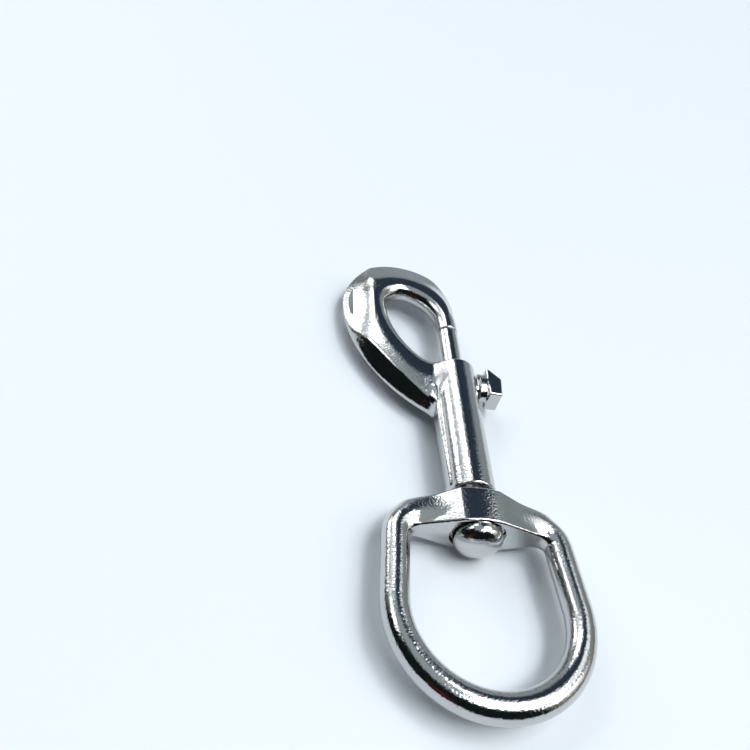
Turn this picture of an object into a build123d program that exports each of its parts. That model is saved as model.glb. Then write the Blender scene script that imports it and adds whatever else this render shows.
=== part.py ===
from build123d import *
import math
import os

# Swivel-eye bolt snap, lying flat, in millimetres. The swivel axis is the Y axis, pointing from
# the eye to the hook. The flats of the eye and the hook lie in the XY plane, with the thumb knob
# on the +X side. The origin is the centre of the eye's round end.

# Swivel eye: a D of round wire with a cross bar that swells to a boss around the swivel hole.
webbing_width = 25.4
wire_r = 2.4
eye_top_half_width = 13.9
eye_corner_r = 5.0
bar_near_y = 13.2
bar_far_y = 20.0
boss_half_width = 4.1
boss_half_height = 4.7
shoulder_x = 8.5
shoulder_half_height = 3.1
bar_end_x = 12.3
bar_end_half_height = 1.9
bar_end_near_y = 14.6
bar_end_far_y = 18.7
bar_edge_r = 0.5
recess_r = 4.65
recess_depth = 1.1

# Barrel: a tube with a rib towards the hook and a slot on the other side for the knob.
barrel_r = 4.35
barrel_start_y = 21.2
barrel_end_y = 51.8
barrel_end_round = 0.6
barrel_start_chamfer = 0.35
bore_r = 2.33
bore_end_y = 60.0
rib_reach_x = 4.7
rib_blend_r = 2.5

# Hook: a round bead around the opening, and a flange outside it that thins to a rim. The bead's
# centre line is a straight nose and four tangent arcs.
bead_r = 2.3
nose_y = 63.55
nose_straight_end_y = 65.4
nose_arc_r = 11.2
top_arc_r = 6.3
top_arc_x = -9.3
side_arc_r = 24.5
bottom_arc_r = 6.8
bottom_arc_y = 57.5
crown_r = 12.35
crown_centre = (-10.1, 71.2)
belly_r = 35.0
flange_half_height = 1.9
bevel_width = 3.2
bevel_depth = 2.3
rim_edge_r = 0.5
pocket_depth = 1.5
pocket_bead_margin = 0.4
pocket_rim_margin = 1.5
pocket_barrel_margin = 1.0
pocket_top_y = 77.0
pocket_corner_r = 0.6

# Bolt, thumb knob and spring
bolt_r = 2.25
bolt_tail_y = 42.2
bolt_tip_y = 63.45
bolt_tip_chamfer = 0.35
bolt_travel = 10.0
stem_length = 4.4
stem_width = 3.0
stem_centre_y = 48.5
stem_start_x = 2.3
slot_play = 0.1
spigot_r = 1.1
spigot_depth = 2.6
cap_inner_x = 6.3
cap_outer_x = 8.9
cap_nose_x = 9.4
cap_half_height = 2.4
cap_start_y = 45.0
cap_end_y = 52.0
cap_slope_start_y = 49.6
cap_slope_x = 7.0
cap_edge = 0.3
spring_wire_r = 0.2
spring_coil_r = 1.9
spring_turns = 9

# Swivel post: a button head in the eye's recess and a shank pressed into the barrel's bore.
post_shank_r = 2.33
post_end_y = 26.6
post_end_chamfer = 0.4
head_r = 4.4
head_rim_y = 12.6
head_dome = 2.6
head_seat_y = 14.2
head_seat_r = 4.0
swivel_clearance = 0.1


def rod(radius, y_start, y_end):
    """A round bar on the swivel axis."""
    bar = Cylinder(radius, y_end - y_start, align=(Align.CENTER, Align.CENTER, Align.MIN))
    return Pos(0, y_start, 0) * Rot(-90, 0, 0) * bar


def arc(centre, radius, start, end):
    """An arc in the XY plane between two angles in degrees."""
    return CenterArc((centre[0], centre[1], 0), radius, start, end - start)


def on_arc(centre, radius, angle):
    """The point of an arc at an angle in degrees."""
    a = math.radians(angle)
    return (centre[0] + radius * math.cos(a), centre[1] + radius * math.sin(a))


def edges_near_z(shape, z):
    """The edges that lie flat at height z."""
    return [e for e in shape.edges() if abs(e.bounding_box().min.Z - z) < 1e-3
            and abs(e.bounding_box().max.Z - z) < 1e-3]


def eye_wire():
    """The D's wire, swept along half of the D and mirrored."""
    r = webbing_width / 2 + wire_r
    top_y = (bar_near_y + bar_far_y) / 2
    lean = math.atan((r - eye_top_half_width) / top_y)
    side_start = on_arc((0, 0), r, math.degrees(lean))
    # the corner is tangent to the leaning side and to the top run
    corner_y = top_y - eye_corner_r
    rise = corner_y + eye_corner_r * math.sin(lean) - side_start[1]
    side_end = (side_start[0] - rise * math.tan(lean), side_start[1] + rise)
    corner_x = side_end[0] - eye_corner_r * math.cos(lean)
    path = Wire([
        arc((0, 0), r, 270, 360 + math.degrees(lean)),
        Line(side_start, side_end),
        arc((corner_x, corner_y), eye_corner_r, math.degrees(lean), 90),
        Line((corner_x, top_y), (0, top_y)),
    ])
    section = Plane(origin=path @ 0, z_dir=path % 0) * Circle(wire_r)
    half = sweep(section, path=path)
    return half + mirror(half, Plane.YZ)


def eye_bar():
    """The cross bar: high at the boss, sloping to the wire, with a plan that narrows too."""
    x, h = bar_end_x, bar_end_half_height
    bx, bh = boss_half_width, boss_half_height
    sx, sh = shoulder_x, shoulder_half_height
    elevation = Polygon((-x, -h), (-sx, -sh), (-bx, -bh), (bx, -bh), (sx, -sh), (x, -h),
                        (x, h), (sx, sh), (bx, bh), (-bx, bh), (-sx, sh), (-x, h), align=None)
    bar = extrude(Plane.XZ.offset(-bar_far_y) * elevation, bar_far_y - bar_near_y)
    plan = Polygon((-sx, bar_near_y), (sx, bar_near_y), (x, bar_end_near_y),
                   (x, bar_end_far_y), (sx, bar_far_y), (-sx, bar_far_y),
                   (-x, bar_end_far_y), (-x, bar_end_near_y), align=None)
    bar = bar & extrude(plan, 2 * bh, both=True)
    long_edges = [e for e in bar.edges() if e.bounding_box().size.X > bar_edge_r]
    return fillet(long_edges, bar_edge_r)


def swivel_eye():
    eye = eye_wire() + eye_bar()
    eye -= rod(post_shank_r + swivel_clearance, bar_near_y - 1, bar_far_y + 1)
    return eye - rod(recess_r, bar_near_y - 1, bar_near_y + recess_depth)


def bead_line():
    """The bead's centre line from the nose, round the crown, to inside the barrel."""
    nose_centre = (-nose_arc_r, nose_straight_end_y)
    rise = math.sqrt((nose_arc_r - top_arc_r) ** 2 - (top_arc_x - nose_centre[0]) ** 2)
    top_centre = (top_arc_x, nose_straight_end_y + rise)
    turn = math.degrees(math.atan2(rise, top_arc_x - nose_centre[0]))
    side_centre = (top_arc_x - top_arc_r + side_arc_r, top_centre[1])
    drop = top_centre[1] - bottom_arc_y
    reach = math.sqrt((side_arc_r - bottom_arc_r) ** 2 - drop ** 2)
    bottom_centre = (side_centre[0] - reach, bottom_arc_y)
    low = 180 + math.degrees(math.atan2(drop, reach))
    end = (bottom_centre[0], bottom_arc_y - bottom_arc_r)
    return [
        Line((0, nose_y), (0, nose_straight_end_y)),
        arc(nose_centre, nose_arc_r, 0, turn),
        arc(top_centre, top_arc_r, turn, 180),
        arc(side_centre, side_arc_r, 180, low),
        arc(bottom_centre, bottom_arc_r, low, 270),
        Line(end, (0, end[1])),
    ]


def flange_outline():
    """The plan of the rib, the belly and the crown, closed along the swivel axis."""
    belly_centre = (crown_centre[0] - crown_r + belly_r, crown_centre[1])
    low = 180 + math.degrees(math.acos((belly_centre[0] + rib_reach_x) / belly_r))
    joint = on_arc(belly_centre, belly_r, low)
    nose_side_x = crown_centre[0] + crown_r
    outline = make_face([
        Line((0, barrel_start_y), (-rib_reach_x, barrel_start_y)),
        Line((-rib_reach_x, barrel_start_y), joint),
        arc(belly_centre, belly_r, low, 180),
        arc(crown_centre, crown_r, 180, 0),
        Line((nose_side_x, crown_centre[1]), (nose_side_x, nose_straight_end_y + 1)),
        Line((nose_side_x, nose_straight_end_y + 1), (0, nose_straight_end_y + 1)),
        Line((0, nose_straight_end_y + 1), (0, barrel_start_y)),
    ])
    corner = outline.vertices().sort_by_distance((joint[0], joint[1], 0))[0]
    return fillet(corner, rib_blend_r)


def opening_face():
    """The area inside the bead's centre line, closed along the swivel axis."""
    line = bead_line()
    return make_face(line + [Line(line[-1] @ 1, line[0] @ 0)])


def flange():
    """The plate outside the bead, bevelled on the front and hollowed at the back."""
    outline = flange_outline()
    opening = opening_face()
    plate = extrude(outline - opening, flange_half_height, both=True)
    rim = [e for e in edges_near_z(plate, flange_half_height) if e.geom_type == GeomType.CIRCLE
           and min(abs(e.radius - crown_r), abs(e.radius - belly_r)) < 1e-3]
    front = plate.faces().sort_by(Axis.Z)[-1]
    plate = chamfer(rim, bevel_width, bevel_depth, reference=front)
    back_rim = [e for e in edges_near_z(plate, -flange_half_height)
                if e.geom_type == GeomType.CIRCLE
                and min(abs(e.radius - crown_r), abs(e.radius - belly_r)) < 1e-3]
    plate = fillet(back_rim, rim_edge_r)
    hollow = offset(outline, -pocket_rim_margin) - offset(opening, bead_r + pocket_bead_margin)
    keep_x = -barrel_r - pocket_barrel_margin
    hollow &= Pos(keep_x, pocket_top_y) * Rectangle(60, 60, align=(Align.MAX, Align.MAX))
    corners = [v for v in hollow.vertices() if abs(v.X - keep_x) < 1e-3
               or abs(v.Y - pocket_top_y) < 1e-3]
    hollow = fillet(corners, pocket_corner_r)
    return plate - Pos(0, 0, -flange_half_height) * extrude(hollow, pocket_depth, both=True)


def hook_body():
    """Barrel, rib, bead and flange in one casting, with the bore and the knob's slot."""
    tube = rod(barrel_r, barrel_start_y, barrel_end_y)
    ends = tube.edges().filter_by(GeomType.CIRCLE).sort_by(Axis.Y)
    tube = chamfer(ends[0], barrel_start_chamfer)
    ends = tube.edges().filter_by(GeomType.CIRCLE).sort_by(Axis.Y)
    tube = fillet(ends[-1], barrel_end_round)
    line = Wire(bead_line())
    bead = sweep(Plane(origin=line @ 0, z_dir=line % 0) * Circle(bead_r), path=line)
    body = tube + bead + flange()
    body -= rod(bore_r, barrel_start_y - 1, bore_end_y)
    slot_length = stem_length + bolt_travel + 2 * slot_play
    slot_centre_y = stem_centre_y - bolt_travel / 2
    slot = Plane.YZ * Pos(slot_centre_y, 0) * SlotOverall(slot_length, stem_width + 2 * slot_play)
    return body - extrude(slot, 2 * barrel_r)


def bolt():
    """The sliding bolt, with a cross hole for the knob's spigot."""
    bar = rod(bolt_r, bolt_tail_y, bolt_tip_y)
    bar = chamfer(bar.edges().filter_by(GeomType.CIRCLE), bolt_tip_chamfer)
    return bar - spigot()


def spigot():
    """The round end of the knob inside the bolt."""
    pin = Cylinder(spigot_r, spigot_depth, align=(Align.CENTER, Align.CENTER, Align.MAX))
    return Pos(stem_start_x, stem_centre_y, 0) * Rot(0, 90, 0) * pin


def thumb_knob():
    """An oval stem through the slot and a block cap that is cut away towards the nose."""
    stem = Plane.YZ.offset(stem_start_x) * Pos(stem_centre_y, 0) * SlotOverall(stem_length, stem_width)
    stem = extrude(stem, cap_inner_x - stem_start_x + cap_edge)
    side = Polygon((cap_inner_x, cap_start_y), (cap_outer_x, cap_start_y),
                   (cap_nose_x, cap_slope_start_y), (cap_slope_x, cap_end_y),
                   (cap_inner_x, cap_end_y), align=None)
    cap = extrude(side, cap_half_height, both=True)
    cap = chamfer(cap.edges(), cap_edge)
    return stem + cap + spigot()


def spring():
    """The compression spring between the post's end and the bolt's tail."""
    length = bolt_tail_y - post_end_y - 2 * spring_wire_r
    coil = Helix(pitch=length / spring_turns, height=length, radius=spring_coil_r)
    section = Plane(origin=coil @ 0, z_dir=coil % 0) * Circle(spring_wire_r)
    wire = sweep(section, path=coil, is_frenet=True)
    return Pos(0, post_end_y + spring_wire_r, 0) * Rot(-90, 0, 0) * wire


def swivel_post():
    """The post, turned about the swivel axis."""
    tip = (0, head_rim_y - head_dome)
    half = make_face([
        EllipticalCenterArc((0, head_rim_y), head_r, head_dome, start_angle=270, arc_size=90),
        Line((head_r, head_rim_y), (head_seat_r, head_seat_y)),
        Line((head_seat_r, head_seat_y), (post_shank_r, head_seat_y)),
        Line((post_shank_r, head_seat_y), (post_shank_r, post_end_y - post_end_chamfer)),
        Line((post_shank_r, post_end_y - post_end_chamfer),
             (post_shank_r - post_end_chamfer, post_end_y)),
        Line((post_shank_r - post_end_chamfer, post_end_y), (0, post_end_y)),
        Line((0, post_end_y), tip),
    ])
    return revolve(half, Axis.Y)


parts = {
    "hook_body": hook_body(),
    "bolt": bolt(),
    "thumb_knob": thumb_knob(),
    "bolt_spring": spring(),
    "swivel_post": swivel_post(),
    "swivel_eye": swivel_eye(),
}

os.makedirs("parts", exist_ok=True)
for name, shape in parts.items():
    shape.label = name
    export_step(shape, f"parts/{name}.step")
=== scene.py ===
"""Swivel-eye bolt snap: visual model, studio and camera.

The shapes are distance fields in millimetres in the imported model's frame: +Y runs from the eye to
the hook along the swivel axis, +X points to the thumb knob and +Z out of the front face. A field
is negative inside its shape. Each field's zero surface is meshed as one closed piece.
"""

import math

import bpy
import numpy as np
from mathutils import Matrix, Vector


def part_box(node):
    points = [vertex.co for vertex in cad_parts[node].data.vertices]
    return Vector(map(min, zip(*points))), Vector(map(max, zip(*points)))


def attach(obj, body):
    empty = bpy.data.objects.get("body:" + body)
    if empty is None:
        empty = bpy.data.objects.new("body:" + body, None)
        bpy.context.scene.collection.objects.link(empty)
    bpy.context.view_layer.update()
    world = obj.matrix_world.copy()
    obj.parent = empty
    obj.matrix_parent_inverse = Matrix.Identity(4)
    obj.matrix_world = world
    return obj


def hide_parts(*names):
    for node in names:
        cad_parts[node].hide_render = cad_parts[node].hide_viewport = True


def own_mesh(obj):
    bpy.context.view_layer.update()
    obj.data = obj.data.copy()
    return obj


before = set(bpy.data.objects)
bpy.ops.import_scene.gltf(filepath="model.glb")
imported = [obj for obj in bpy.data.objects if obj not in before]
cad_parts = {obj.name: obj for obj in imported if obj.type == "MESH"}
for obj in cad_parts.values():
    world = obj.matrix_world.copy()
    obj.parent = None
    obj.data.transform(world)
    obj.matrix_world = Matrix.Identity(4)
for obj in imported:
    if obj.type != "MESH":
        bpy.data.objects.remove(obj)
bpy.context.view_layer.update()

MM = 0.001
Y, Z = 1, 2


def extent(node, axis):
    """Where a CAD node starts and ends along an axis, in millimetres."""
    low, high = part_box(node)
    return round(low[axis] / MM, 3), round(high[axis] / MM, 3)


# ---- camera ----------------------------------------------------------------------------------

CAMERA_AT = (-43.358, -55.446, 101.120)
CAMERA_RIGHT = (0.97416, -0.03622, 0.22293)
CAMERA_UP = (-0.13205, 0.70946, 0.69227)
SENSOR_WIDTH = 36.0
LENS = 36.0
NEAR_CLIP = 0.001


def add_camera():
    data = bpy.data.cameras.new("camera")
    data.sensor_width = SENSOR_WIDTH
    data.lens = LENS
    data.clip_start = NEAR_CLIP
    camera = bpy.data.objects.new("camera", data)
    bpy.context.scene.collection.objects.link(camera)
    right = Vector(CAMERA_RIGHT).normalized()
    up = Vector(CAMERA_UP)
    up = (up - up.dot(right) * right).normalized()
    turn = Matrix((right, up, right.cross(up))).transposed().to_4x4()
    camera.matrix_world = Matrix.Translation(Vector(CAMERA_AT) * MM) @ turn
    bpy.context.scene.camera = camera
    bpy.context.scene.view_settings.view_transform = "Standard"


add_camera()


# ---- distance fields -------------------------------------------------------------------------

def round_union(a, b, r):
    """Joins two fields with a fillet of radius r."""
    u = np.maximum(r - a, 0)
    v = np.maximum(r - b, 0)
    return np.maximum(r, np.minimum(a, b)) - np.sqrt(u * u + v * v)


def round_common(a, b, r):
    """Keeps what is inside both fields, with their meeting edge rounded to radius r."""
    return -round_union(-a, -b, r)


def round_cut(a, b, r):
    """Takes field b out of field a, with the new edge rounded to radius r."""
    return round_common(a, -b, r)


def slab(v, low, high):
    """The space between two parallel planes."""
    return np.maximum(low - v, v - high)


def cylinder(x, y, z, r, y_low, y_high, edge):
    """A round bar on the swivel axis with rounded ends."""
    return round_common(np.hypot(x, z) - r, slab(y, y_low, y_high), edge)


def ramp(u, points):
    """A smooth curve through (place, value) points, level beyond both ends."""
    places = [p[0] for p in points]
    values = [p[1] for p in points]
    k = np.clip(np.searchsorted(places, u) - 1, 0, len(points) - 2)
    start = np.take(places, k)
    t = np.clip((u - start) / (np.take(places, k + 1) - start), 0, 1)
    low = np.take(values, k)
    return low + (np.take(values, k + 1) - low) * t * t * (3 - 2 * t)


# ---- swivel eye ------------------------------------------------------------------------------

WIRE_R = 2.4
EYE_R = -extent("swivel_eye", Y)[0] - WIRE_R
EYE_TOP_HALF_WIDTH = 13.9
EYE_CORNER_R = 5.0
BAR_Y = (13.2, extent("swivel_eye", Y)[1])
BAR_FAR_TAPER = 0.26
BAR_TAPER_X = 3.6
BAR_END_X = 13.0
BAR_EDGE = 0.45
BAR_END_EDGE = 0.8
BAR_FILLET = 1.5
BAR_FACE_SCALE = 0.95
BOSS_HEIGHT = 4.69
BOSS_CROWN_R = 16.0
BOSS_HALF_WIDTH = 3.6
SHOULDER_SLOPE = 0.345
HOLE_START_Y = 8.0
HOLE_EDGE = 0.1
POST_HOLE_R = 2.43
RECESS_R = 4.42
RECESS_STRETCH = 0.92
RECESS_DEPTH = 1.1


def eye_wire(x, y, z):
    """Round wire bent to a D: half a ring, two leaning legs, two corners and a top."""
    side = np.abs(x)
    top_y = sum(BAR_Y) / 2
    lean = math.atan((EYE_R - EYE_TOP_HALF_WIDTH) / top_y)
    cos, sin = math.cos(lean), math.sin(lean)
    corner_y = top_y - EYE_CORNER_R
    rise = corner_y + EYE_CORNER_R * sin - EYE_R * sin
    corner_x = EYE_R * cos - rise * math.tan(lean) - EYE_CORNER_R * cos
    ring = np.abs(np.hypot(side, y) - EYE_R)
    leg = np.abs((side - EYE_R * cos) * cos + (y - EYE_R * sin) * sin)
    corner = np.abs(np.hypot(side - corner_x, y - corner_y) - EYE_CORNER_R)
    along = (y - EYE_R * sin) * cos - (side - EYE_R * cos) * sin
    high = (y - corner_y) * cos - (side - corner_x) * sin
    line = np.where(along < 0, ring, np.where(high < 0, leg, corner))
    line = np.where((high >= 0) & (side < corner_x), np.abs(y - top_y), line)
    return np.hypot(line, z) - WIRE_R


def eye_bar(x, y, z):
    """The flat cross bar, crowned over its boss and falling away to both sides."""
    side = np.abs(x)
    crown = np.minimum(side, BOSS_HALF_WIDTH) ** 2 / (2 * BOSS_CROWN_R)
    height = BOSS_HEIGHT - crown - SHOULDER_SLOPE * np.maximum(side - BOSS_HALF_WIDTH, 0)
    far_y = BAR_Y[1] - BAR_FAR_TAPER * np.maximum(side - BAR_TAPER_X, 0)
    bar = round_common(BAR_Y[0] - y, y - far_y, BAR_EDGE)
    bar = round_common(bar, (np.abs(z) - height) * BAR_FACE_SCALE, BAR_EDGE)
    return round_common(bar, side - BAR_END_X, BAR_END_EDGE)


def eye_field(x, y, z):
    """The D of round wire with its cross bar, less the post's hole and the head's recess."""
    eye = round_union(eye_wire(x, y, z), eye_bar(x, y, z), BAR_FILLET)
    hole = np.maximum(np.hypot(x, z) - POST_HOLE_R, HOLE_START_Y - y)
    eye = round_cut(eye, hole, HOLE_EDGE)
    recess = np.hypot(x * RECESS_STRETCH, z) - RECESS_R
    recess = np.maximum(recess, slab(y, HOLE_START_Y, BAR_Y[0] + RECESS_DEPTH))
    return round_cut(eye, recess, HOLE_EDGE)


# ---- swivel post -----------------------------------------------------------------------------

POST_R = 2.33
HEAD_TIP_Y, POST_END_Y = extent("swivel_post", Y)
HEAD_R = 4.25
HEAD_RIM_Y = 12.6
HEAD_SEAT_Y = 14.2
POST_EDGE = 0.3
NECK_FILLET = 0.1
LEAST_SLOPE = 0.02


def post_field(x, y, z):
    """The swivel post: an elliptical domed head on a round shank."""
    out = np.hypot(x, z)
    depth = HEAD_RIM_Y - HEAD_TIP_Y
    down = HEAD_RIM_Y - y
    k = np.sqrt((out / HEAD_R) ** 2 + (down / depth) ** 2)
    slope = np.sqrt(out * out / HEAD_R ** 4 + down * down / depth ** 4)
    dome = k * (k - 1) / np.maximum(slope, LEAST_SLOPE)
    head = np.where(y < HEAD_RIM_Y, dome, out - HEAD_R)
    head = round_common(head, y - HEAD_SEAT_Y, POST_EDGE)
    shank = cylinder(x, y, z, POST_R, HEAD_RIM_Y, POST_END_Y, POST_EDGE)
    return round_union(head, shank, NECK_FILLET)


# ---- hook and barrel -------------------------------------------------------------------------

BARREL_R = 4.35
BARREL_Y = (extent("hook_body", Y)[0], 51.8)
BARREL_EDGE = 0.35
BARREL_FILLET = 1.5
BORE_R = 2.33
BORE_Y = (10.0, 60.0)
BORE_EDGE = 0.25
RIB_X = -4.85
RIB_Y = (22.0, 46.0)
RIB_TAPER_END_Y = 40.0
RIB_TAPER = 0.5
RIB_HALF_HEIGHT = 1.5
RIB_EDGE = 0.5
SLOT_Y = (36.2, 50.8)
SLOT_HALF_WIDTH = 1.6
SLOT_EDGE = 0.2

# The bead's centre line is a straight nose, four arcs (centre x, y, radius, start and end angle in
# degrees) and a foot inside the barrel.
BEAD_R = 2.3
NOSE_Y = 63.55
NOSE_ARC_Y = 65.4
NOSE_EDGE = 0.3
BEAD_ARCS = (
    (-11.2, 65.4, 11.2, 0.0, 67.2),
    (-9.3, 69.917, 6.3, 67.2, 180.0),
    (8.9, 69.917, 24.5, 180.0, 224.56),
    (-3.71, 57.5, 6.8, 224.56, 270.0),
)
FOOT_Y = 50.7
ARC_OVERLAP = 1e-6
GATE_X = (-4.0, 5.0)
GATE_START_Y = 55.0

# The plate's outline: a round crown and a flatter belly.
CROWN_CENTRE = (-10.1, 71.2)
CROWN_R = 12.35
BELLY_R = 35.0
PLATE_RIGHT_X = 2.25
PLATE_BACK_Z = -2.0
PLATE_EDGE = 0.35
BACK_EDGE = 0.3
PLATE_GATE_X = (-2.6, 5.0)
PLATE_GATE_Y = (40.0, 64.5)

# The bevels. Slopes, starts and heights are tables of (turn, value). The turn is the angle in
# radians round the crown's centre: it grows from the nose over the crown and down the belly, and
# starts at TURN_START.
TURN_START = -0.65
FACE_SLOPES = ((2.3, 0.03), (2.9, 0.36), (3.9, 0.36), (4.4, 0.27), (5.3, 0.27))
FACE_STARTS = ((4.0, 0.0), (5.1, 1.4))
FACE_BEND = 2.4
# The top bevel starts at a round ridge: centre x, y and radius.
TOP_RIDGE = (-9.6, 68.3, 10.1)
TOP_SLOPES = ((-0.3, 1.1), (1.0, 0.26))
TOP_DROP = 0.1
TOP_END_TURN = 3.4
TOP_EDGE = 0.15
# The left bevel starts at a ridge (x, z), which turns in (from y, with a radius) towards the crown.
# The bevel grows flatter further out, and the turn is stretched along the crown.
LEFT_RIDGE = (-17.7, 1.7)
LEFT_TURN = (73.0, 7.0)
LEFT_SLOPE = 0.84
LEFT_BEND = -0.024
LEFT_STRETCH = 0.62
LEFT_EDGE = 0.6
BELLY_START_TURN = 3.6
BELLY_SLOPES = ((4.0, 1.85), (4.56, 1.4))
BELLY_HEIGHTS = ((4.0, -1.5), (4.35, -1.85), (4.85, -1.25))
BELLY_EDGE = 0.3
# A bevel is lifted this high where it doesn't apply.
WELL_ABOVE = 9.0

# The hollow in the plate's back: how far it stays from the bead's centre line and from the rim.
POCKET_Z = -0.5
POCKET_BEAD_GAP = 2.8
POCKET_RIM_GAP = 1.45
POCKET_TOP_Y = 77.0
POCKET_SIDE_X = -5.3
POCKET_CORNER = 0.6
POCKET_FLOOR_EDGE = 0.5
POCKET_EDGE = 0.2


def bead_offset(x, y):
    """The distance in plan from the bead's centre line, positive outside the loop."""
    nose_gap = np.maximum(NOSE_Y - y, 0) + np.maximum(y - NOSE_ARC_Y, 0)
    best = np.copysign(np.hypot(x, nose_gap), x)
    foot_gap = np.maximum(BEAD_ARCS[-1][0] - x, 0) + np.maximum(x, 0)
    foot = np.copysign(np.hypot(y - FOOT_Y, foot_gap), FOOT_Y - y)
    best = np.where(np.abs(foot) < np.abs(best), foot, best)
    for cx, cy, r, start, end in BEAD_ARCS:
        middle = math.radians((start + end) / 2)
        half = math.radians((end - start) / 2)
        turn = np.arctan2(y - cy, x - cx) - middle
        turn = np.abs((turn + math.pi) % (2 * math.pi) - math.pi)
        away = np.hypot(x - cx, y - cy) - r
        nearer = (turn <= half + ARC_OVERLAP) & (np.abs(away) < np.abs(best))
        best = np.where(nearer, away, best)
    return best


def rim_offset(x, y):
    """The distance in plan from the plate's outer edge, negative inside."""
    cx, cy = CROWN_CENTRE
    crown = np.hypot(x - cx, y - cy) - CROWN_R
    belly = np.hypot(x - (cx - CROWN_R + BELLY_R), y - cy) - BELLY_R
    return np.where(y > cy, crown, np.maximum(belly, x - PLATE_RIGHT_X))


def plate_face(z, turn, offset):
    """The front face, level along the bead's crest and then falling away from it."""
    run = np.maximum(offset - ramp(turn, FACE_STARTS), 0)
    fall = np.where(run < FACE_BEND, run * run / (2 * FACE_BEND), run - FACE_BEND / 2)
    return z - BEAD_R + ramp(turn, FACE_SLOPES) * fall


def top_bevel(x, y, z, turn):
    """The bevel over the crown, which starts from a round ridge."""
    slope = ramp(turn, TOP_SLOPES)
    ridge_x, ridge_y, ridge_r = TOP_RIDGE
    top = z - BEAD_R + TOP_DROP + slope * (np.hypot(x - ridge_x, y - ridge_y) - ridge_r)
    return np.where(turn > TOP_END_TURN, z - WELL_ABOVE, top) / np.sqrt(1 + slope * slope)


def left_bevel(x, y, z):
    """The bevel along the plate's left side, which turns in towards the crown."""
    ridge_x, ridge_z = LEFT_RIDGE
    turn_y, turn_r = LEFT_TURN
    up = LEFT_STRETCH * np.maximum(y - turn_y, 0)
    beyond = np.hypot(np.minimum(x - ridge_x - turn_r, 0), up) - turn_r
    out = np.maximum(beyond, 0)
    left = z - ridge_z + LEFT_SLOPE * beyond + LEFT_BEND * out * out
    return left / np.sqrt(1 + (LEFT_SLOPE + 2 * LEFT_BEND * out) ** 2)


def belly_bevel(z, turn, rim):
    """The steep bevel along the belly's edge."""
    slope = ramp(turn, BELLY_SLOPES)
    belly = (z - ramp(turn, BELLY_HEIGHTS) + slope * rim) / np.sqrt(1 + slope * slope)
    return np.where(turn < BELLY_START_TURN, z - WELL_ABOVE, belly)


def back_pocket(x, y, z, offset, rim):
    pocket = round_common(POCKET_BEAD_GAP - offset, rim + POCKET_RIM_GAP, POCKET_CORNER)
    ends = np.maximum(y - POCKET_TOP_Y, x - POCKET_SIDE_X)
    pocket = round_common(pocket, ends, POCKET_CORNER)
    return round_common(pocket, z - POCKET_Z, POCKET_FLOOR_EDGE)


def plate_field(x, y, z, offset):
    """The plate outside the bead: a face off the bead's crest, three bevels and a pocket."""
    rim = rim_offset(x, y)
    turn = np.arctan2(y - CROWN_CENTRE[1], x - CROWN_CENTRE[0])
    turn = np.where(turn < TURN_START, turn + 2 * math.pi, turn)
    plate = round_common(plate_face(z, turn, offset), left_bevel(x, y, z), LEFT_EDGE)
    plate = round_common(plate, belly_bevel(z, turn, rim), BELLY_EDGE)
    plate = round_common(plate, top_bevel(x, y, z, turn), TOP_EDGE)
    plate = round_common(plate, PLATE_BACK_Z - z, BACK_EDGE)
    plate = round_common(plate, rim, PLATE_EDGE)
    plate = np.maximum(plate, -offset)
    gate = np.maximum(slab(x, *PLATE_GATE_X), slab(y, *PLATE_GATE_Y))
    plate = np.maximum(plate, -gate)
    return round_cut(plate, back_pocket(x, y, z, offset, rim), POCKET_EDGE)


def barrel_rib(x, y, z):
    """The low rib down the barrel's side, lower still towards the eye."""
    lower = np.clip((RIB_TAPER_END_Y - y) / (RIB_TAPER_END_Y - RIB_Y[0]), 0, 1)
    reach = RIB_X + RIB_TAPER * lower
    rib = round_common(np.maximum(reach - x, x), np.abs(z) - RIB_HALF_HEIGHT, RIB_EDGE)
    return round_common(rib, slab(y, *RIB_Y), RIB_EDGE)


def knob_slot(x, y, z):
    """The slot with round ends in the barrel's +X side."""
    middle = (SLOT_Y[0] + SLOT_Y[1]) / 2
    run = (SLOT_Y[1] - SLOT_Y[0]) / 2 - SLOT_HALF_WIDTH
    slot = np.hypot(z, np.maximum(np.abs(y - middle) - run, 0)) - SLOT_HALF_WIDTH
    return np.maximum(slot, -x)


def hook_field(x, y, z):
    """The casting: bead, plate and barrel, less the gate, the bore and the knob's slot."""
    offset = bead_offset(x, y)
    bead = np.hypot(offset, z) - BEAD_R
    loop = np.minimum(bead, plate_field(x, y, z, offset))
    gate = np.maximum(slab(x, *GATE_X), slab(y, GATE_START_Y, NOSE_Y))
    loop = round_cut(loop, gate, NOSE_EDGE)
    barrel = cylinder(x, y, z, BARREL_R, *BARREL_Y, BARREL_EDGE)
    barrel = round_union(barrel, barrel_rib(x, y, z), RIB_EDGE)
    body = round_union(barrel, loop, BARREL_FILLET)
    bore = np.maximum(np.hypot(x, z) - BORE_R, slab(y, *BORE_Y))
    body = round_cut(body, bore, BORE_EDGE)
    return round_cut(body, knob_slot(x, y, z), SLOT_EDGE)


# ---- bolt ------------------------------------------------------------------------------------

BOLT_R = 2.25
BOLT_Y = extent("bolt", Y)
BOLT_EDGE = 0.3


def bolt_field(x, y, z):
    """The round bar that closes the gate."""
    return cylinder(x, y, z, BOLT_R, *BOLT_Y, BOLT_EDGE)


# ---- thumb knob ------------------------------------------------------------------------------

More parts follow.
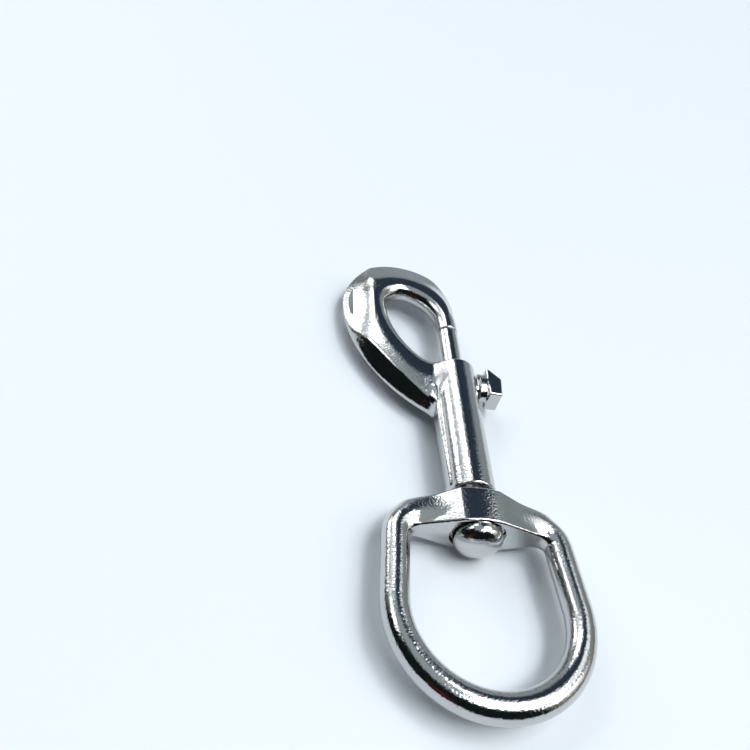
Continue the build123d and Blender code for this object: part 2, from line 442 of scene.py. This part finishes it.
STEM_Y = 48.5
STEM_HALF = (2.2, 1.5)
STEM_X = (2.0, 6.6)
COLLAR_X = (4.7, 6.6)
COLLAR_R = 2.35
COLLAR_STRETCH = 1.4
COLLAR_EDGE = 0.2
CAP_X = (6.3, 9.4)
CAP_Y = extent("thumb_knob", Y)
CAP_LOW_X = 8.95
CAP_RISE = (0.5, 4.6)
CAP_CHAMFER_Y = 49.6
CAP_HALF_HEIGHT = extent("thumb_knob", Z)[1]
CAP_EDGE = 0.3
CAP_END_EDGE = 0.35
CAP_SIDE_EDGE = 0.4


def knob_field(x, y, z):
    """An oval stem, a collar outside the barrel and a block cap cut away towards the nose."""
    run = STEM_HALF[0] - STEM_HALF[1]
    stem = np.hypot(z, np.maximum(np.abs(y - STEM_Y) - run, 0)) - STEM_HALF[1]
    stem = np.maximum(stem, slab(x, *STEM_X))
    lean = math.atan2(*CAP_RISE)
    outer = (x - CAP_LOW_X) * math.cos(lean) - (y - CAP_Y[0]) * math.sin(lean)
    chamfer = ((x - CAP_X[1]) + (y - CAP_CHAMFER_Y)) * math.sqrt(0.5)
    cap = round_common(outer, chamfer, CAP_EDGE)
    cap = round_common(cap, slab(y, *CAP_Y), CAP_END_EDGE)
    cap = round_common(cap, CAP_X[0] - x, CAP_EDGE)
    cap = round_common(cap, np.abs(z) - CAP_HALF_HEIGHT, CAP_SIDE_EDGE)
    collar = np.hypot((y - STEM_Y) / COLLAR_STRETCH, z) - COLLAR_R
    collar = round_common(collar, slab(x, *COLLAR_X), COLLAR_EDGE)
    return round_union(np.minimum(stem, collar), cap, CAP_EDGE)


# ---- meshing ---------------------------------------------------------------------------------

# The grid reaches past a node's box by the margin in mm and by these numbers of steps.
MARGIN = 0.3
STEPS_BEFORE = 1.5
STEPS_AFTER = 2.5

# Half the span of a central difference: a share of the grid's step while the points move, and a
# length in mm for the final normals.
SPAN_SHARE = 0.25
NORMAL_SPAN = 0.02

# Rounds of pulling and relaxing, and how much of the way to its neighbours' mean a point goes.
FIRST_PULLS = 4
LAST_PULLS = 2
RELAX_ROUNDS = 6
RELAX_SHARE = 0.6

# The longest move in one pull, in spans, and the least values that are divided by.
LONGEST_MOVE = 3
LEAST_GRADIENT = 0.05
TINY = 1e-9


def unit(v):
    return v / np.maximum(np.linalg.norm(v, axis=1, keepdims=True), TINY)


def gradient(field, p, h):
    """The field's gradient at points p, by central differences."""
    out = np.empty_like(p)
    for k in range(3):
        step = np.zeros(3)
        step[k] = h
        a = p + step
        b = p - step
        out[:, k] = (field(*a.T) - field(*b.T)) / (2 * h)
    return out


def pull(field, p, h, rounds):
    """Moves points along the gradient onto the field's zero surface."""
    for _ in range(rounds):
        g = gradient(field, p, h)
        size = np.maximum((g * g).sum(1), LEAST_GRADIENT)
        move = -(field(*p.T) / size)[:, None] * g
        length = np.linalg.norm(move, axis=1, keepdims=True)
        p = p + move * np.minimum(1, LONGEST_MOVE * h / np.maximum(length, TINY))
    return p


def mixed_cells(inside):
    """The grid cells that have corners both inside and outside the field."""
    some = np.zeros([n - 1 for n in inside.shape], bool)
    every = np.ones_like(some)
    for i in (0, 1):
        for j in (0, 1):
            for k in (0, 1):
                part = inside[i:i + some.shape[0], j:j + some.shape[1], k:k + some.shape[2]]
                some |= part
                every &= part
    return some & ~every


def quads_of(inside, index):
    """One quad for each grid edge that crosses the surface, facing outwards."""
    quads = []
    for axis in range(3):
        u, v = (axis + 1) % 3, (axis + 2) % 3
        start = np.moveaxis(inside, axis, 0)[:-1]
        end = np.moveaxis(inside, axis, 0)[1:]
        crossing = np.moveaxis(start != end, 0, axis)
        first = np.moveaxis(start, 0, axis)
        edges = np.argwhere(crossing)
        edges = edges[(edges[:, u] > 0) & (edges[:, v] > 0)]
        corners = []
        for du, dv in ((0, 0), (-1, 0), (-1, -1), (0, -1)):
            cell = edges.copy()
            cell[:, u] += du
            cell[:, v] += dv
            corners.append(index[tuple(cell.T)])
        quad = np.stack(corners, 1)
        flip = ~first[tuple(edges.T)]
        quad[flip] = quad[flip][:, ::-1]
        quads.append(quad)
    return np.concatenate(quads)


def relax(p, quads, normals, share):
    """Evens out the vertices within the surface."""
    ends = np.concatenate([quads[:, [k, (k + 1) % 4]] for k in range(4)])
    count = np.bincount(ends[:, 0], minlength=len(p)) + np.bincount(ends[:, 1], minlength=len(p))
    mean = np.empty_like(p)
    for k in range(3):
        mean[:, k] = np.bincount(ends[:, 0], p[ends[:, 1], k], len(p))
        mean[:, k] += np.bincount(ends[:, 1], p[ends[:, 0], k], len(p))
    move = mean / count[:, None] - p
    move -= (move * normals).sum(1, keepdims=True) * normals
    return p + share * move


def surface(name, field, node, step):
    """A mesh of the field's zero surface in a CAD node's box, with the field's own normals."""
    low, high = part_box(node)
    axes = []
    for start, end in zip(low, high):
        start = start / MM - MARGIN
        end = end / MM + MARGIN
        axes.append(np.arange(start - STEPS_BEFORE * step, end + STEPS_AFTER * step, step))
    inside = field(*np.meshgrid(*axes, indexing="ij")) < 0
    mixed = mixed_cells(inside)
    index = np.full(mixed.shape, -1)
    index[mixed] = np.arange(mixed.sum())
    quads = quads_of(inside, index)
    origin = np.array([a[0] for a in axes])
    p = origin + (np.argwhere(mixed) + 0.5) * step
    h = step * SPAN_SHARE
    p = pull(field, p, h, FIRST_PULLS)
    for _ in range(RELAX_ROUNDS):
        p = relax(p, quads, unit(gradient(field, p, h)), RELAX_SHARE)
        p = pull(field, p, h, 1)
    p = pull(field, p, h, LAST_PULLS)
    normals = unit(gradient(field, p, NORMAL_SPAN))
    mesh = bpy.data.meshes.new(name)
    mesh.from_pydata((p * MM).tolist(), [], quads.tolist())
    mesh.shade_smooth()
    mesh.normals_split_custom_set_from_vertices(normals.tolist())
    piece = bpy.data.objects.new(name, mesh)
    bpy.context.scene.collection.objects.link(piece)
    return piece


# ---- spring ----------------------------------------------------------------------------------

SPRING_R = 1.9
SPRING_WIRE_R = 0.2
SPRING_TURNS = 9
SPRING_Y = (POST_END_Y, BOLT_Y[0])
SPRING_STEPS_PER_TURN = 40
SPRING_SIDES = 12


def spring_coil(name):
    """A round wire wound between the post's end and the bolt's tail."""
    steps = SPRING_TURNS * SPRING_STEPS_PER_TURN
    turn = np.linspace(0, 2 * math.pi * SPRING_TURNS, steps + 1)
    rise = (SPRING_Y[1] - SPRING_Y[0] - 2 * SPRING_WIRE_R) / turn[-1]
    out = np.stack([np.sin(turn), 0 * turn, np.cos(turn)], 1)
    along = np.stack([np.cos(turn) * SPRING_R, 0 * turn + rise, -np.sin(turn) * SPRING_R], 1)
    side = unit(np.cross(along, out))
    centre = out * SPRING_R
    centre[:, 1] = SPRING_Y[0] + SPRING_WIRE_R + rise * turn
    angle = 2 * math.pi * np.arange(SPRING_SIDES) / SPRING_SIDES
    ring = np.cos(angle)[:, None, None] * out + np.sin(angle)[:, None, None] * side
    points = (centre + SPRING_WIRE_R * ring).transpose(1, 0, 2).reshape(-1, 3)
    faces = []
    for i in range(steps):
        here = i * SPRING_SIDES
        there = here + SPRING_SIDES
        for j in range(SPRING_SIDES):
            k = (j + 1) % SPRING_SIDES
            faces.append((here + j, there + j, there + k, here + k))
    end = steps * SPRING_SIDES
    faces.append(tuple(range(SPRING_SIDES)))
    faces.append(tuple(reversed(range(end, end + SPRING_SIDES))))
    mesh = bpy.data.meshes.new(name)
    mesh.from_pydata((points * MM).tolist(), [], faces)
    mesh.shade_smooth()
    piece = bpy.data.objects.new(name, mesh)
    bpy.context.scene.collection.objects.link(piece)
    return piece


# ---- shader nodes ----------------------------------------------------------------------------

def add_node(tree, kind, **settings):
    node = tree.nodes.new("ShaderNode" + kind)
    for key, value in settings.items():
        setattr(node, key, value)
    return node


def wire_up(tree, node, *inputs):
    """Feeds sockets or numbers into a node's inputs in order, and gives its first output."""
    for socket, value in zip(node.inputs, inputs):
        if isinstance(value, bpy.types.NodeSocket):
            tree.links.new(value, socket)
        elif value is not None:
            socket.default_value = value
    return node.outputs[0]


def math_node(tree, operation, *inputs):
    return wire_up(tree, add_node(tree, "Math", operation=operation), *inputs)


def mix_node(tree, *inputs):
    return wire_up(tree, add_node(tree, "MixRGB"), *inputs)


def smooth_range(tree, *inputs):
    """Maps a value from one range to another along a smooth curve."""
    node = add_node(tree, "MapRange", interpolation_type="SMOOTHSTEP")
    return wire_up(tree, node, *inputs)


# ---- materials -------------------------------------------------------------------------------

# Each metal: colour, roughness and the layers of noise that disturb its surface, each as waves per
# metre and depth in mm.
NICKEL = (0.55, 0.555, 0.55), 0.09, ((160.0, 0.06), (700.0, 0.03), (2600.0, 0.038))
STEEL = (0.45, 0.45, 0.46), 0.3, ((2000.0, 0.005),)
NOISE_DETAIL = 2.0
NOISE_RANGE = (0.3, 0.7)
ROUGHNESS_RANGE = (0.7, 1.4)
PAPER_COLOUR = (0.68, 0.72, 0.765, 1)
PAPER_ROUGHNESS = 0.6


def new_material(name):
    """A material with its node tree and its shader."""
    material = bpy.data.materials.new(name)
    material.use_nodes = True
    return material, material.node_tree, material.node_tree.nodes["Principled BSDF"]


def metal(name, colour, roughness, layers):
    """A polished metal with a wavy, slightly grainy surface. The finest layer of noise also
    varies its roughness."""
    material, tree, shader = new_material(name)
    shader.inputs["Base Color"].default_value = (*colour, 1)
    shader.inputs["Metallic"].default_value = 1.0
    place = add_node(tree, "TexCoord").outputs["Object"]
    normal = None
    for scale, depth in layers:
        noise = add_node(tree, "TexNoise")
        tree.links.new(place, noise.inputs["Vector"])
        noise.inputs["Scale"].default_value = scale
        noise.inputs["Detail"].default_value = NOISE_DETAIL
        bump = add_node(tree, "Bump")
        bump.inputs["Strength"].default_value = 1.0
        bump.inputs["Distance"].default_value = depth * MM
        tree.links.new(noise.outputs[0], bump.inputs["Height"])
        if normal is not None:
            tree.links.new(normal, bump.inputs["Normal"])
        normal = bump.outputs[0]
    tree.links.new(normal, shader.inputs["Normal"])
    rough = wire_up(tree, add_node(tree, "MapRange"), noise.outputs[0], *NOISE_RANGE,
                    *(roughness * share for share in ROUGHNESS_RANGE))
    tree.links.new(rough, shader.inputs["Roughness"])
    return material


def paper():
    material, tree, shader = new_material("paper")
    shader.inputs["Base Color"].default_value = PAPER_COLOUR
    shader.inputs["Roughness"].default_value = PAPER_ROUGHNESS
    return material


# ---- pieces ----------------------------------------------------------------------------------

# Each piece: its name, field, the CAD node it replaces, its body and its mesh's step.
PIECES = (
    ("casting", hook_field, "hook_body", "hook", 0.24),
    ("eye", eye_field, "swivel_eye", "eye", 0.26),
    ("post", post_field, "swivel_post", "hook", 0.2),
    ("plunger", bolt_field, "bolt", "bolt", 0.2),
    ("thumb", knob_field, "thumb_knob", "bolt", 0.14),
)


def add_piece(piece, node, body, material):
    piece.data.materials.append(material)
    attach(piece, body)
    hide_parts(node)


nickel = metal("nickel", *NICKEL)
for name, field, node, body, step in PIECES:
    add_piece(surface(name, field, node, step), node, body, nickel)

coil = spring_coil("coil")
add_piece(coil, "bolt_spring", "hook", metal("spring_steel", *STEEL))
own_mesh(coil)


# ---- studio ----------------------------------------------------------------------------------

FAR_WALL = (0.35, 0.40, 0.43)
CEILING = (0.42, 0.47, 0.50)
CEILING_RISE = (35, 65)
WARM_WALL = (0.28, 0.29, 0.26)
DARK = (0.008, 0.013, 0.013)
NAVY = (0.036, 0.056, 0.086)
RED = (0.11, 0.022, 0.022)
WHITE = (1.0, 1.0, 0.97)
SKY = (0.97, 1.0, 1.03)

# Each patch of the studio: azimuth from +Y towards +X and its half width, elevation and its half
# width, soft edge, all in degrees, then the colour and its brightness.
PATCHES = (
    (105, 50, 8, 20, 12, WARM_WALL, 1.0),
    (-50, 26, 2, 22, 8, WARM_WALL, 0.55),
    (-130, 60, 16, 44, 5, DARK, 1.0),
    (158, 34, 16, 38, 6, DARK, 1.0),
    (-146, 10, 6, 18, 6, RED, 0.8),
    (19, 23, 47, 21, 4, NAVY, 0.9),
    (28, 12, 68, 8, 6, NAVY, 1.5),
    (-66, 15, 45, 8, 4, SKY, 3.5),
    (-42, 12, 40, 6, 4, SKY, 1.2),
    (-21, 11, 41, 13, 3, SKY, 3.5),
    (-42, 10, 17, 8, 2, SKY, 3.5),
    (112, 66, 68, 6, 3, SKY, 12.0),
    (104, 27, 55, 5, 3, WHITE, 8.0),
    (60, 16, 50, 8, 4, SKY, 1.5),
    (106, 17, 36, 6, 4, WHITE, 4.0),
    (98, 12, 24, 6, 5, WHITE, 1.2),
)

FLOOR_HALF = 3.0
FLOOR_Z = -0.0052
COVE_RADII = (2.0, 2.95)
COVE_HEIGHT = 2.2
COVE_LIFT = 0.0005
COVE_SIDES = 96
COVE_STEPS = 16


def soft_band(tree, value, half, soft):
    """1 where the value is less than half, falling smoothly to 0 over the soft edge."""
    return smooth_range(tree, value, half - soft, half + soft, 1.0, 0.0)


def patch_mask(tree, azimuth, elevation, az, az_half, el, el_half, soft):
    """1 within one patch of the studio and 0 outside it."""
    away = math_node(tree, "SUBTRACT", azimuth, math.radians(az))
    away = math_node(tree, "WRAP", away, math.pi, -math.pi)
    across = soft_band(tree, math_node(tree, "ABSOLUTE", away),
                       math.radians(az_half), math.radians(soft) / math.cos(math.radians(el)))
    rise = math_node(tree, "SUBTRACT", elevation, math.radians(el))
    up_down = soft_band(tree, math_node(tree, "ABSOLUTE", rise),
                        math.radians(el_half), math.radians(soft))
    return math_node(tree, "MULTIPLY", across, up_down)


def studio_world():
    """Walls, a ceiling, dark cards and light strips all round the object."""
    world = bpy.data.worlds.new("studio")
    world.use_nodes = True
    tree = world.node_tree
    axes = add_node(tree, "SeparateXYZ")
    tree.links.new(add_node(tree, "TexCoord").outputs["Generated"], axes.inputs[0])
    x, y, z = axes.outputs
    azimuth = math_node(tree, "ARCTAN2", x, y)
    elevation = math_node(tree, "ARCSINE", z)
    height = smooth_range(tree, elevation, *(math.radians(el) for el in CEILING_RISE), 0.0, 1.0)
    colour = mix_node(tree, height, (*FAR_WALL, 1), (*CEILING, 1))
    for *place, tint, power in PATCHES:
        mask = patch_mask(tree, azimuth, elevation, *place)
        colour = mix_node(tree, mask, colour, (*(c * power for c in tint), 1))
    tree.links.new(colour, tree.nodes["Background"].inputs[0])
    tree.nodes["Background"].inputs[1].default_value = 1.0
    bpy.context.scene.world = world


def stage_piece(name, points, faces, material):
    mesh = bpy.data.meshes.new(name)
    mesh.from_pydata(points, [], faces)
    mesh.shade_smooth()
    mesh.materials.append(material)
    piece = bpy.data.objects.new(name, mesh)
    bpy.context.scene.collection.objects.link(piece)
    return piece


def add_floor(material):
    h, z = FLOOR_HALF, FLOOR_Z
    stage_piece("floor", [(-h, -h, z), (h, -h, z), (h, h, z), (-h, h, z)], [(0, 1, 2, 3)], material)


def add_cove(material):
    """A pale wall far round the object that curves up from the floor. It is a backdrop only: it
    throws no shadow and is not mirrored in the metal."""
    start, end = COVE_RADII
    bend = end - start
    base = FLOOR_Z + COVE_LIFT
    profile = [(start + bend * math.sin(a), base + bend * (1 - math.cos(a)))
               for a in np.linspace(0, math.pi / 2, COVE_STEPS + 1)]
    profile.append((end, COVE_HEIGHT))
    rows = len(profile)
    points = [(r * math.sin(t), r * math.cos(t), z)
              for t in np.linspace(0, 2 * math.pi, COVE_SIDES, endpoint=False) for r, z in profile]
    faces = []
    for i in range(COVE_SIDES):
        here = i * rows
        there = (i + 1) % COVE_SIDES * rows
        for k in range(rows - 1):
            faces.append((here + k, there + k, there + k + 1, here + k + 1))
    wall = stage_piece("cove", points, faces, material)
    wall.visible_glossy = False
    wall.visible_diffuse = False
    wall.visible_shadow = False
    wall.visible_transmission = False


studio_world()
pale = paper()
add_floor(pale)
add_cove(pale)
